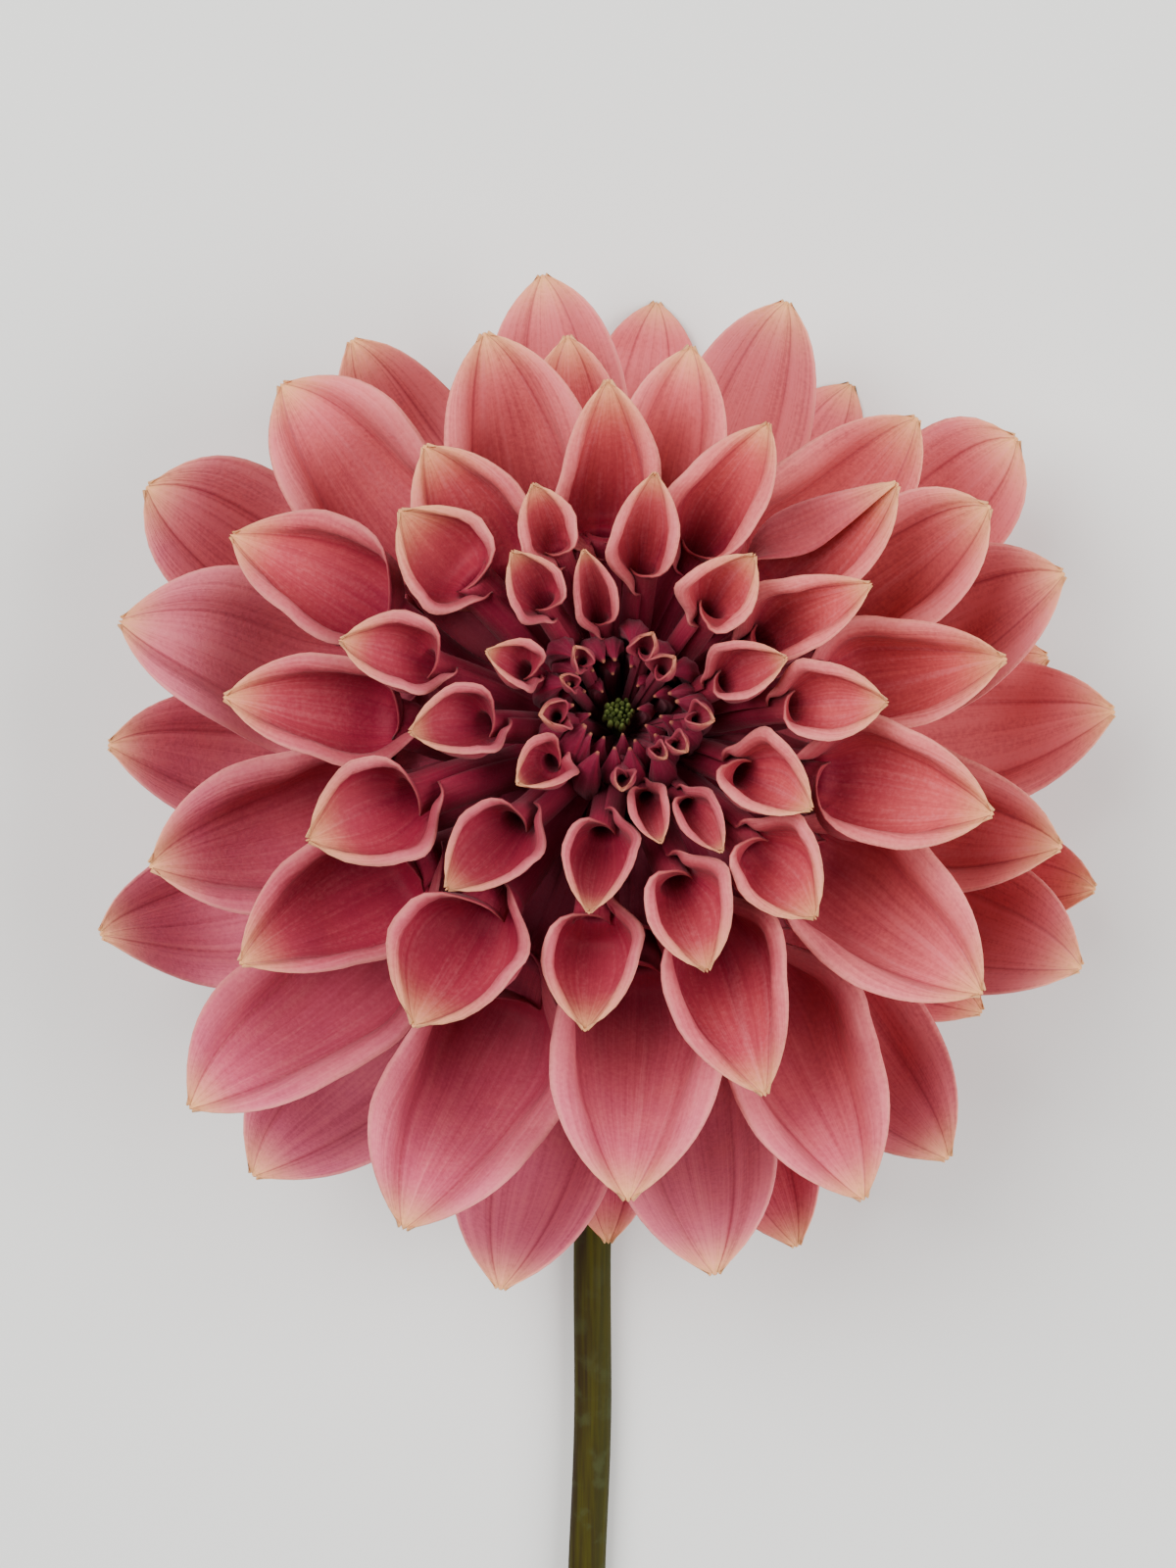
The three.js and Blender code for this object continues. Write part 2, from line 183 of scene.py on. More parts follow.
WAVE = 0.05  # of the flare
RIPPLE = 0.012  # of the half width
WAVE_PACES = (0.5, 1.1)  # least and most waves along a margin
TOOTH = 0.02  # length of the middle tooth at the tip
BROADEST_TEETH = 24
TEETH_FROM = 0.95
MIDRIB_THICKNESS = 0.8
MARGIN_THICKNESS = 0.4
THIN_TIP = 0.3  # share of the length over which the tip thins out
ALONG = 50  # rows of points from foot to tip
HALF_ACROSS = 20  # columns from the midrib to a margin
WIDTH_ROUNDS = 4
ROUND_LIMITS = (0.7, 1.4)  # least and most that a round multiplies the half width by
FIRST_HALF_WIDTH = 0.8  # of the wanted breadth, before the first round
MOST_HALF_WIDTH = (0.70, 1.20)  # of the tube and from the belly on
EVEN_SAMPLES = 600
MOUTH_SHIFT = 0.03  # where the rows lie closest together, beyond the end of the tube
MOUTH_BAND = 0.07
CLOSER = 3  # how many more rows there are at that place than elsewhere
TAPERS = (0.88, 1.15)  # least and most of a whorl's taper that one floret has
# Painted shade: the throat's deep colour reaches further on the bloom's left, where the inner faces turn
# away from the light.
SHADED_SIDE_BLUSH = 0.12  # how much further the deep colour reaches on the left than in the middle


# ---- small helpers ----
def smooth(x):
    """0 below 0, 1 above 1, and 3x^2 - 2x^3 between."""
    x = np.clip(x, 0, 1)
    return x * x * (3 - 2 * x)


def unit(vectors):
    """Each vector over its own length."""
    return vectors / np.linalg.norm(vectors, axis=-1, keepdims=True)


def mean(a, b):
    return (a + b) / 2


def difference(azimuth, other):
    """The turn from one azimuth to another, between -180 and 180 degrees."""
    return (azimuth - other + 540) % 360 - 180


def on_sphere(azimuth, elevation):
    """Unit vector at an azimuth from +X and an elevation from the equator, in degrees."""
    a, e = np.radians(azimuth), np.radians(elevation)
    return np.array([np.cos(a) * np.cos(e), np.sin(a) * np.cos(e), np.sin(e)])


def at(azimuth, reach, height):
    """The point of the head frame at an azimuth, a distance from the axis and a height."""
    return on_sphere(azimuth, 0) * reach + np.array([0, 0, height])


def to_row(points):
    """Head frame to row frame: a turn about X by the tilt of the head, then the head's place."""
    c, s = np.cos(np.radians(HEAD_TILT)), np.sin(np.radians(HEAD_TILT))
    x, y, z = points[..., 0], points[..., 1], points[..., 2]
    return np.stack([x, c * y + s * z, c * z - s * y], -1) + HEAD


def vectors_of(*fields):
    """Three fields of one shape as a list of vectors."""
    return np.stack(fields, -1).reshape(-1, 3)


def corners_of_ring(sides):
    """The angles of a ring's points, as one row."""
    return np.linspace(0, 2 * np.pi, sides, endpoint=False)[None, :]


def tip_height(name, azimuth, reach):
    """Height of a tip over the receptacle's middle: a dome with a sunk eye, and the back whorl below it."""
    downhill = np.sin(np.radians(azimuth))
    if name == "back":
        lean = np.radians(HEAD_TILT)
        surface = (TIP_CLEARANCE - HEAD[2] + reach * downhill * np.sin(lean)) / np.cos(lean)
        return max(surface, BACK_HEIGHT - BACK_SAG * downhill)
    r = reach / (1 - LOWER_SIDE_STRETCH * downhill)
    if r < CREST_REACH:
        return CREST_HEIGHT - EYE_DEPTH * (1 - r / CREST_REACH) ** EYE_ROUNDNESS
    drop = RIM_FALL * ((r - CREST_REACH) / (RIM_REACH - CREST_REACH)) ** DOME_ROUNDNESS
    return float(np.clip(CREST_HEIGHT - drop, *WHORLS[name]["band"]))


# ---- one floret ----
def half_section(w, s, opened, half_width, tucked, wave, folded):
    """One side of every cross-section, from the midrib (q = 0) to the margin (q = 1).

    The surface's direction turns by roll * (q / wall) ** curl up the wall, plus the crease, less the flare
    across the lip. The lip comes with the opening, later on the tucked side, and fades towards the tip.
    On a folded side the direction turns instead by FOLD_TURN across the fold's band. The points are the
    running sum of (cos, sin) of that direction, times the half width.
    """
    q = np.linspace(0, 1, HALF_ACROSS + 1)[None, :]
    to_tip = np.clip((s - w["open"]) / max(1 - w["open"], 0.02), 0, 1) ** 1.4
    roll = SHUT_ROLL + (w["roll"] - SHUT_ROLL) * opened + (w["tip_roll"] - w["roll"]) * to_tip
    side = 1 + (TUCK if tucked else COVER) * (1 - opened) ** 0.7
    curl = 1 + MARGIN_CURL * opened
    lip_width = np.minimum(w["lip"], LIP_MOST * half_width)
    wall = (1 - lip_width / np.maximum(half_width, 1e-6))[:, None]
    rise, start = TUCKED_LIP_RISE if tucked else LIP_RISE
    lip_on = (smooth(rise * opened + start) * (1 - LIP_FADE * to_tip))[:, None]

    up_wall = q + (np.minimum(q / wall, 1) - q) * lip_on
    turn = np.radians(roll * side)[:, None] * up_wall ** curl[:, None]
    crease = np.radians(w["crease"]) * smooth(s / CREASE_FROM)[:, None]
    turn = turn + crease * (smooth((q - CREASE_AT) / CREASE_BAND + 0.5) - q)
    lip = np.clip((q - wall + LIP_LEAD) / (1 - wall), 0, 1) ** 1.2
    turn = turn - np.radians(w["flare"]) * (lip_on * wave[:, None]) * lip
    folded = folded * smooth((s - w["shut"]) / FOLD_RUN)[:, None]
    turn = turn + (np.radians(FOLD_TURN) * smooth((q - FOLD_AT) / FOLD_BAND) - turn) * folded

    step = half_width[:, None] / HALF_ACROSS
    out, up = (np.cumsum(mean(f(turn[:, 1:]), f(turn[:, :-1])), 1) * step for f in (np.cos, np.sin))
    zero = np.zeros((len(s), 1))
    to_margin = smooth((q - wall + PALE_LEAD) / (1 + PALE_LEAD - wall))
    pale = w["pale"] * to_margin ** (1.5 - w["pale"]) * lip_on
    return np.hstack([zero, out]), np.hstack([zero, up]), pale


def shares(shut):
    """Shares of the run from foot to tip, four times closer together where the mouth begins: their
    density is 1 + CLOSER * exp(-x ** 2), with x counted in bands from that place."""
    even = np.linspace(0, 1, EVEN_SAMPLES)
    run = np.cumsum(1 + CLOSER * np.exp(-((even - shut - MOUTH_SHIFT) / MOUTH_BAND) ** 2))
    return np.interp(np.linspace(run[0], run[-1], ALONG), run, even)


def cubic(foot, foot_way, tip, tip_way, pulls, s):
    """A cubic curve from foot to tip that leaves and arrives along two ways, at the shares s of its run."""
    length = np.linalg.norm(tip - foot)
    first, second = foot + pulls[0] * length * foot_way, tip - pulls[1] * length * tip_way
    r = 1 - s
    weights = np.stack([r ** 3, 3 * r ** 2 * s, 3 * r * s ** 2, s ** 3], 1)
    return weights @ np.stack([foot, first, second, tip]), length


def frames(path, azimuth):
    """Unit vectors at each point of a path: T along it, B across it and level, and N = T x B."""
    along = unit(np.gradient(path, axis=0))
    level = on_sphere(azimuth + 90, 0)
    across = unit(level - (along @ level)[:, None] * along)
    return along, across, np.cross(along, across)


def outline(w, s):
    """Breadth seen from above over the greatest breadth: a tube that widens as a quarter sine up to the
    mouth, a quarter ellipse from there to the belly, and 1 - x ** taper from the belly to the tip."""
    shut, belly = w["shut"], w["belly"]
    narrow = w.get("foot_width", FOOT_WIDTH)
    tube = TUBE_WIDTH * (narrow + (1 - narrow) * np.sin(np.pi / 2 * np.clip(s / max(shut, 0.05), 0, 1)))
    widening = np.sqrt(1 - (1 - np.clip((s - shut) / (belly - shut), 0, 1)) ** 2)
    tapering = np.clip((s - belly) / (1 - belly), 0, 1) ** w["taper"]
    return (tube + (1 - tube) * widening) * (1 - (1 - TIP_WIDTH) * tapering)


def spine(line, azimuth, lean, shut):
    """The midrib of a blade: the shares of its run, its points and length, and T, B and N with a twist
    that grows to the lean at the tip. The line is what cubic() takes."""
    s = shares(shut)
    midrib, length = cubic(*line, s)
    along, across, inward = frames(midrib, azimuth)
    twist = lean * smooth(s)[:, None]
    across, inward = (across * np.cos(twist) + inward * np.sin(twist),
                      inward * np.cos(twist) - across * np.sin(twist))
    return s, midrib, length, along, across, inward


def blade(azimuth, reach, breadth, height, w, rng, foot_azimuth=None, mouth=None):
    """The inner face of a floret as a grid of points (along, across), and what its finish needs.

    The midrib is a cubic curve from the receptacle to the tip. A point is midrib + out * B + up * N, with
    out and up from half_section and B, N turned about the midrib by a slight twist. A rolled blade is
    wider than it looks, so each round multiplies the half width by the breadth wanted over the breadth
    seen, evened out over 5 rows, and keeps it below a most by (half ** -8 + most ** -8) ** (-1 / 8). The
    tip has three small teeth: cos(3 * pi * t) across it.
    """
    if foot_azimuth is None:
        foot_azimuth = azimuth
    tip_elevation = np.degrees(np.arctan2(height, reach))
    foot_way = on_sphere(foot_azimuth, w["foot"])
    tip_way = on_sphere(azimuth, tip_elevation - w["droop"])
    tip = at(azimuth, reach, height)
    lean = np.radians(rng.uniform(-MOST_LEAN, MOST_LEAN))
    waves = [(rng.uniform(0, 2 * np.pi), rng.uniform(*WAVE_PACES)) for _ in range(2)]

    line = (RECEPTACLE_RADIUS * foot_way, foot_way, tip, tip_way, (FOOT_PULL, TIP_PULL))
    s, midrib, length, along, across, inward = spine(line, azimuth, lean, w["shut"])
    if mouth:
        edge = midrib + MOUTH_DEPTH * breadth * inward
        shut = float(np.interp(mouth, np.hypot(edge[:, 0], edge[:, 1]), s))
        w = dict(w, shut=shut, open=shut + OPEN_AFTER * (1 - shut), belly=shut + BELLY_AFTER * (1 - shut))
        s, midrib, length, along, across, inward = spine(line, azimuth, lean, shut)

    wanted = breadth * outline(w, s)
    half_width = FIRST_HALF_WIDTH * wanted
    tube_most, belly_most = MOST_HALF_WIDTH
    to_belly = smooth((s - w["shut"]) / (w["belly"] - w["shut"]))
    most = breadth * (tube_most + (belly_most - tube_most) * to_belly)
    for _ in range(WIDTH_ROUNDS):
        sides = []
        for way, (phase, pace) in zip((-1, 1), waves):
            tucked = way < 0
            wave = 1 + WAVE * np.sin(2 * np.pi * pace * s + phase)
            ripple = 1 + RIPPLE * np.sin(2 * np.pi * pace * s + 2 * phase)
            opening = np.clip((s - w["shut"] - TUCK_LAG * tucked) / (w["open"] - w["shut"]), 0, 1)
            opened = np.sqrt(1 - (1 - opening) ** 2)
            folded = 0 if tucked else w.get("fold", 0)
            sides.append(half_section(w, s, opened, half_width * ripple, tucked, wave, folded))
        out, up, lip = (np.hstack([a[:, :0:-1] * k, b]) for a, b, k in zip(*sides, (-1, 1, 1)))
        factor = np.clip(wanted / np.maximum(np.ptp(out, axis=1), 1e-3), *ROUND_LIMITS)
        half_width = half_width * np.convolve(np.pad(factor, 2, "edge"), np.full(5, 0.2), "valid")
        half_width = (half_width ** -8 + most ** -8) ** (-1 / 8)
    points = midrib[:, None] + out[..., None] * across[:, None] + up[..., None] * inward[:, None]

    t = np.linspace(-1, 1, 2 * HALF_ACROSS + 1)[None, :]
    at_tip = smooth((s[:, None] - TEETH_FROM) / (1 - TEETH_FROM))
    teeth = np.cos(3 * np.pi * t) * (1 - 0.4 * abs(t)) * at_tip
    points += TOOTH * min(breadth, BROADEST_TEETH) * teeth[..., None] * along[:, None]
    grid = np.ones_like(out)
    return dict(
        points=points, along=s[:, None] * grid, across=t * grid, lip=lip, length=length,
        half_width=half_width.max(), dusk=w["dusk"], shut=w["shut"], blush=w["blush"])


# ---- how the florets lie on each other ----
CELL = 1.5  # of the square grid, in mm
SPAN = 150  # from its middle to its sides
GAP = 0.9
LONG = 65  # the points of a floret longer than this are further apart than the cells
SPREADS = 6
EVENINGS = 20
SINK_FROM = 0.10  # shares of the length where a sink begins and over which it grows
SINK_RUN = 0.25


def spread(rows, join):
    """Joins every row with the rows before and after it, by maximum or mean."""
    padded = np.concatenate([rows[:1], rows, rows[-1:]])
    return join(rows, join(padded[:-2], padded[2:]))


class Canopy:
    """The lowest underside of the florets laid so far, over a square grid across the bloom."""

    def __init__(self):
        cells = int(2 * SPAN / CELL)
        self.under = np.full((cells, cells), np.inf)

    def cells(self, points):
        index = ((points[..., :2] + SPAN) / CELL).astype(int)
        return index[..., 0], index[..., 1]

    def press(self, floret, most):
        """Lowers a floret, row by row, to lie under the florets laid before it.

        A row sinks by its greatest height over their underside, up to the most that is allowed. The sinks
        are spread along the blade and evened out, and fade to nothing at the foot. What still stands out
        after that sinks in the same way, up to half as far.
        """
        points = floret["points"]
        for share in (1, 0.5):
            above = points[..., 2] + GAP - self.under[self.cells(points)]
            sink = np.clip(above, 0, share * most).max(axis=1, keepdims=True)
            for _ in range(SPREADS):
                sink = spread(sink, np.maximum)
            for _ in range(EVENINGS):
                sink = spread(sink, mean)
            points[..., 2] -= sink * smooth((floret["along"] - SINK_FROM) / SINK_RUN)

    def add(self, floret):
        """Marks the cells under a floret with its lowest points, and round them if it is long."""
        points = floret["points"]
        column, row = self.cells(points)
        near = (-1, 0, 1) if floret["length"] > LONG else (0,)
        for x in near:
            for y in near:
                np.minimum.at(self.under, (column + x, row + y), points[..., 2] - MIDRIB_THICKNESS)


# ---- meshes ----
SHELL_MARGIN = 0.03  # what stays free round the pieces of a map
RING_MARGIN = 0.02
RIM_SCALE = (1.06, 1.02)  # of the map's outline of the inner face, for the outside of the rim


def shell(floret):
    """The two faces of a blade. The outer one lies a thickness behind the inner one.

    The thickness falls from the midrib to the margins as 1 - across ** 2, and thins out to the tip.
    """
    inner = floret["points"]
    normal = np.cross(np.gradient(inner, axis=0), np.gradient(inner, axis=1))
    normal /= np.maximum(np.linalg.norm(normal, axis=2, keepdims=True), 1e-9)
    share = (1 - floret["across"] ** 2) * smooth((1 - floret["along"]) / THIN_TIP)
    thickness = MARGIN_THICKNESS + (MIDRIB_THICKNESS - MARGIN_THICKNESS) * share
    return inner, inner - normal * thickness[..., None]


def shell_faces(rows, columns):
    """Quads of both faces and the rim. The outer face's points follow the inner face's in the list."""
    index = np.arange(rows * columns).reshape(rows, columns)
    a, b, c, d = index[:-1, :-1], index[1:, :-1], index[1:, 1:], index[:-1, 1:]
    inner = np.stack([a, b, c, d], -1).reshape(-1, 4)
    outer = inner[:, ::-1] + rows * columns
    edges = [index[0, :], index[:, -1], index[-1, ::-1], index[::-1, 0]]
    rim = np.concatenate([np.stack([e[:-1], e[1:]], 1) for e in edges])
    strip = np.hstack([rim, rim[:, ::-1] + rows * columns])
    return inner, outer, strip


def on_tile(places, tile, tiles):
    """Map places from 0 to 1, moved on to one tile of a square of tiles."""
    per_side = int(np.ceil(np.sqrt(tiles)))
    return (places + np.array([tile % per_side, tile // per_side])) / per_side


def shell_uv(rows, columns, quads):
    """Map places of the corners: the inner face on the left half of the map, the outer on the right half,
    and the rim in a thin band round the inner face."""
    count = rows * columns
    inner, outer, strip = (part.ravel() for part in quads)
    v, u = np.divmod(np.arange(count), columns)
    half = np.array([0.5, 1])
    flat = SHELL_MARGIN + (half - 2 * SHELL_MARGIN) * np.stack([u / (columns - 1), v / (rows - 1)], 1)
    beyond = half / 2 + (flat - half / 2) * RIM_SCALE
    return np.concatenate([
        flat[inner],
        flat[outer - count] + np.array([0.5, 0]),
        np.where(strip[:, None] < count, flat[strip % count], beyond[strip % count]),
    ])


def link(name, data):
    """A new object in the scene."""
    piece = bpy.data.objects.new(name, data)
    bpy.context.scene.collection.objects.link(piece)
    return piece


def build(name, parts, material, node):
    """One object from closed parts. Each part is (vertices, faces, map places, attributes)."""
    vertices, faces, places = [], [], []
    fields = {key: [] for key in parts[0][3]}
    start = 0
    for points, quads, uv, values in parts:
        vertices.append(points)
        faces.append(quads + start)
        places.append(uv)
        for key in fields:
            fields[key].append(values[key])
        start += len(points)
    vertices, faces = np.concatenate(vertices) * MM, np.concatenate(faces)
    mesh = bpy.data.meshes.new(name)
    mesh.from_pydata(vertices.tolist(), [], faces.tolist())
    mesh.uv_layers.new(name="OFBake").data.foreach_set("uv", np.concatenate(places).astype("f").ravel())
    for key, values in fields.items():
        attribute = mesh.attributes.new(key, "FLOAT_VECTOR", "POINT")
        attribute.data.foreach_set("vector", np.concatenate(values).astype("f").ravel())
    mesh.polygons.foreach_set("use_smooth", np.ones(len(faces), bool))
    mesh.materials.append(material)
    piece = link(name, mesh)
    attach(piece, "root")
    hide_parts(node)
    return piece


def closed_rings(rings, tile=0, tiles=1):
    """A part from a stack of rings whose first and last ring have shrunk to a point."""
    rows, sides = rings.shape[:2]
    index = np.arange(rows * sides).reshape(rows, sides)
    turned = np.roll(index, -1, axis=1)
    quads = np.stack([index[:-1], turned[:-1], turned[1:], index[1:]], -1).reshape(-1, 4)
    row, side = np.divmod(np.arange((rows - 1) * sides), sides)
    u = np.stack([side, side + 1, side + 1, side], -1) / sides
    v = np.stack([row, row, row + 1, row + 1], -1) / (rows - 1)
    places = RING_MARGIN + (1 - 2 * RING_MARGIN) * np.stack([u, v], -1).reshape(-1, 2)
    uv = on_tile(places, tile, tiles)
    return rings.reshape(-1, 3), quads, uv, {}


INNER_CLEARANCE = 0.9  # least heights of the two faces over the surface that the bloom lies on
OUTER_CLEARANCE = 0.3
GOLDEN_TIP = 13  # most length of a tip's golden end
GOLDEN_SHARE = 0.55  # and its length over the greatest half width
THROAT_FROM = 0.8  # where the deep colour begins to fade, of the shut part


def floret_part(floret, tone):
    """A floret's closed shell with what its finish reads: `place` is (across, along, tone) on the blade,
    `look` is (throat, lip, dusk) and `mark` is (inner face, nearness of the tip, 0)."""
    inner, outer = (to_row(face) for face in shell(floret))
    inner[..., 2] = np.maximum(inner[..., 2], INNER_CLEARANCE)
    outer[..., 2] = np.maximum(outer[..., 2], OUTER_CLEARANCE)
    rows, columns = inner.shape[:2]
    quads = shell_faces(rows, columns)
    s, t = floret["along"], floret["across"]
    # The throat mask: the deep colour at the foot of a blade, partly its own and partly painted shade deep
    # in the tube.
    deep = THROAT_FROM * floret["shut"]
    throat = 1 - smooth((s - deep) / (floret["blush"] - deep))
    golden = min(GOLDEN_TIP, GOLDEN_SHARE * floret["half_width"])
    tip = np.clip(1 + floret["length"] * (s - 1) / golden, 0, 1) ** 2
    grid = np.ones_like(s)
    values = dict(
        place=np.tile(vectors_of(t, s, tone * grid), (2, 1)),
        look=np.tile(vectors_of(throat, floret["lip"], floret["dusk"] * grid), (2, 1)),
        mark=np.concatenate([vectors_of(side * grid, tip, 0 * grid) for side in (1, 0)]))
    points = np.concatenate([inner.reshape(-1, 3), outer.reshape(-1, 3)])
    return points, np.concatenate(quads), shell_uv(rows, columns, quads), values


# ---- materials ----
def fill(node, inputs):
    """Sets sockets of a node: a Shade is linked, and anything else becomes the socket's own value."""
    for key, value in inputs.items():
        if isinstance(value, Shade):
            value.tree.links.new(value.socket, node.inputs[key])
        else:
            node.inputs[key].default_value = value


class Shade:
    """A socket in a material. Operators on it add Math nodes, and node() adds any other node."""

    def __init__(self, tree, socket=None):
        self.tree = tree
        self.socket = socket

    def node(self, kind, settings=None, inputs=None, output=0):
        """One output of a new node, made from its type, its settings and what its sockets hold."""
        made = self.tree.nodes.new(kind)
        for key, value in (settings or {}).items():
            setattr(made, key, value)
        fill(made, inputs or {})
        return Shade(self.tree, made.outputs[output])

    def maths(self, operation, *values):
        return self.node("ShaderNodeMath", {"operation": operation}, dict(enumerate(values)))

    def __add__(self, other):
        return self.maths("ADD", self, other)

    __radd__ = __add__

    def __mul__(self, other):
        return self.maths("MULTIPLY", self, other)

    __rmul__ = __mul__

    def __sub__(self, other):
        return self.maths("SUBTRACT", self, other)

    def __rsub__(self, other):
        return self.maths("SUBTRACT", other, self)

    def size(self):
        """The value without its sign."""
        return self.maths("ABSOLUTE", self)

    def clip(self):
        return self.node("ShaderNodeClamp", None, {0: self})

    def between(self, low, high):
        """0 at low and 1 at high, with smooth ends."""
        return self.node("ShaderNodeMapRange", {"interpolation_type": "SMOOTHSTEP"},
                         {0: self, 1: low, 2: high, 3: 0.0, 4: 1.0})

    def mix(self, first, second):
        """Colours first and second, mixed by this value. The node holds it between 0 and 1."""
        return self.node("ShaderNodeMix", {"data_type": "RGBA"}, {0: self, 6: first, 7: second}, 2)

    def split(self):
        """The three numbers of a vector."""
        made = self.node("ShaderNodeSeparateXYZ", None, {0: self}).socket.node
        return [Shade(self.tree, socket) for socket in made.outputs]

    def noise(self, scale, detail, roughness=0.5):
        """Noise at the place that this vector gives."""
        return self.node("ShaderNodeTexNoise", None,
                         {"Vector": self, "Scale": scale, "Detail": detail, "Roughness": roughness})

    def bump(self, strength, distance):
        """A normal that follows this value as a height."""
        return self.node("ShaderNodeBump", None,
                         {"Strength": strength, "Distance": distance, "Height": self})


def srgb(red, green, blue):
    """A colour as seen, 0 to 255, as the linear colour that a shader takes."""
    seen = np.array([red, green, blue]) / 255
    linear = np.where(seen <= 0.04045, seen / 12.92, ((seen + 0.055) / 1.055) ** 2.4)
    return (*linear.tolist(), 1.0)


def new_material(name):
    """A material, the place on the object as a Shade, and the material's shader."""
    material = bpy.data.materials.new(name)
    material.use_nodes = True
    tree = material.node_tree
    here = Shade(tree).node("ShaderNodeTexCoord", None, None, "Object")
    return material, here, tree.nodes["Principled BSDF"]


SALMON = srgb(196, 60, 76)
PEACH = srgb(219, 92, 88)
MAUVE = srgb(176, 50, 88)
CRIMSON = srgb(132, 5, 42)
PALE = srgb(238, 136, 142)
ROSE = srgb(230, 128, 156)
BEIGE = srgb(250, 178, 148)
GOLD = srgb(250, 190, 120)
ROSE_BACK = srgb(212, 104, 112)
BURGUNDY = srgb(106, 4, 40)


def petal_material():
    """Salmon blade with a crimson throat, pale lips, a golden tip and fine veins along its length. The
    throat's crimson is partly painted shade and the lips' paleness partly painted light; the creases carry
    painted shade lines, and painted light and shade make the outer whorls and the upper right paler and the
    lower left darker.
    """
    material, here, shader = new_material("petal")

    def stored(name):
        """The three numbers that every point of a floret holds under a name."""
        return here.node("ShaderNodeAttribute", {"attribute_name": name}, None, "Vector").split()

    def streaks(fineness, length, detail):
        """Noise drawn out along the blade: fine across it and long towards the tip."""
        drawn = here.node("ShaderNodeCombineXYZ", None,
                          {0: across * fineness, 1: along * length, 2: tone * 37.0})
        return drawn.noise(1.0, detail, 0.6)

    across, along, tone = stored("place")
    deep, lip, dusk = stored("look")
    inner, tip, _ = stored("mark")
    burgundy = dusk.clip()
    veins = streaks(30.0, 2.0, 4.0)
    broad = streaks(7.0, 1.3, 2.0)
    blotch = here.noise(120.0, 3.0)
    grain = here.noise(1100.0, 3.0)
    right, up, _ = here.split()
    # Painted light and shade across the bloom: towards the upper right the blades are painted paler and
    # warmer with shallower throats, towards the lower left darker and more mauve with deeper throats.
    painted_light_side = (right * 3.2 + up * 4.5 - 0.25 + blotch * 0.5).between(-0.45, 0.75)  # to the upper right

    body = (broad * 0.6).mix(painted_light_side.mix(MAUVE, PEACH), SALMON)
    # The throat's crimson is partly the floret's own colour and partly painted shade deep in the tube.
    throat = (deep * (1.16 - painted_light_side * 0.24) + (broad - 0.5) * 0.7 * deep.between(0.0, 0.25)).clip()
    inside = (throat * 1.15 - 0.04).mix(body, CRIMSON)
    pale = (grain * 0.5 + veins * 0.3 + tip * 0.6 + painted_light_side * 0.7 - burgundy - 0.55).mix(PALE, BEIGE)
    # The lip's paleness is partly its own colour and partly painted light on the turned-out margin.
    inside = (lip * (1 - throat * 0.4) * (0.38 + veins * 0.5 + blotch * 0.5)).mix(inside, pale)
    outside = throat.mix((veins * 0.9).mix(ROSE_BACK, body), CRIMSON)
    outside = (throat * (1 - along * 1.2)).mix(outside, BURGUNDY)

    colour = inner.mix(outside, inside)
    # Dusk below 0 paints light onto the outer whorls: pale rose that lifts them out of the shade of the
    # florets above.
    colour = (dusk * -1 * (1 - throat * 0.75)).mix(colour, painted_light_side.mix(ROSE, PALE))
    colour = (dusk * (1 - lip * 0.45)).mix(colour, BURGUNDY)
    colour = (tip * (1 - burgundy * 0.85) * (0.45 + veins * 0.8)).mix(colour, GOLD)
    # Painted shade: a crimson line along each crease, darker towards the tip.
    crease = (1 - (across.size() - CREASE_AT).size() * 14).clip()
    colour = (crease * crease * (along - 0.35) * 1.1).mix(colour, CRIMSON)
    edge = across.size().between(0.93, 1.0) * inner * (along - 0.45) * (1 - burgundy * 1.2)
    colour = (edge * 0.7).mix(colour, BEIGE)
    shade = veins + broad + (blotch - 0.5) * 0.2 + (grain - 0.5) * 0.7 - 1
    dark = (shade * -1).mix(colour, CRIMSON)
    light = (shade * (1 - burgundy * 0.8) * (1 - throat * 0.9)).mix(dark, PALE)
    relief = (veins + grain * 0.5).bump(0.5, 0.0005)
    fill(shader, {"Base Color": light, "Roughness": 0.58 + veins * 0.16, "Normal": relief,
                  "Specular IOR Level": 0.25, "Sheen Weight": 0.05, "Sheen Roughness": 0.5})
    return material


def stem_material():
    """Olive green, browner on one side and mottled grey-green towards the cut."""
    material, here, shader = new_material("stem")
    right, run, _ = here.split()
    drawn = here.node("ShaderNodeMapping", None, {"Vector": here, "Scale": (600.0, 25.0, 600.0)})
    fibres = drawn.noise(1.0, 4.0)
    blotch = here.noise(160.0, 5.0)
    side = (right * -260.0 + (blotch - 0.5) * 1.2 + 0.2).between(0.0, 1.4)
    green = side.mix(srgb(44, 42, 0), srgb(36, 22, 2))
    green = fibres.between(0.35, 0.75).mix(green, srgb(60, 56, 4))
    mottle = blotch.between(0.50, 0.68) * (run * -9.0).between(-0.2, 1.6)
    green = mottle.mix(green, srgb(60, 66, 34))
    fill(shader, {"Base Color": green, "Roughness": 0.6 + fibres * 0.2, "Normal": fibres.bump(0.4, 0.0005),
                  "Specular IOR Level": 0.15})
    return material


def leaf_material(name, light, dark):
    """Two greens in a fine mottle."""
    material, here, shader = new_material(name)
    blotch = here.noise(350.0, 4.0)
    fill(shader, {"Base Color": blotch.between(0.3, 0.7).mix(dark, light),
                  "Roughness": 0.45 + blotch * 0.2, "Normal": blotch.bump(0.4, 0.0004)})
    return material


def surface_material():
    """Plain pale surface with the faintest mottle."""
    material, here, shader = new_material("surface")
    cloud = here.noise(3.0, 3.0).between(0.2, 0.8)
    fill(shader, {"Base Color": cloud.mix(srgb(228, 228, 224), srgb(234, 234, 230)), "Roughness": 0.85})
    return material


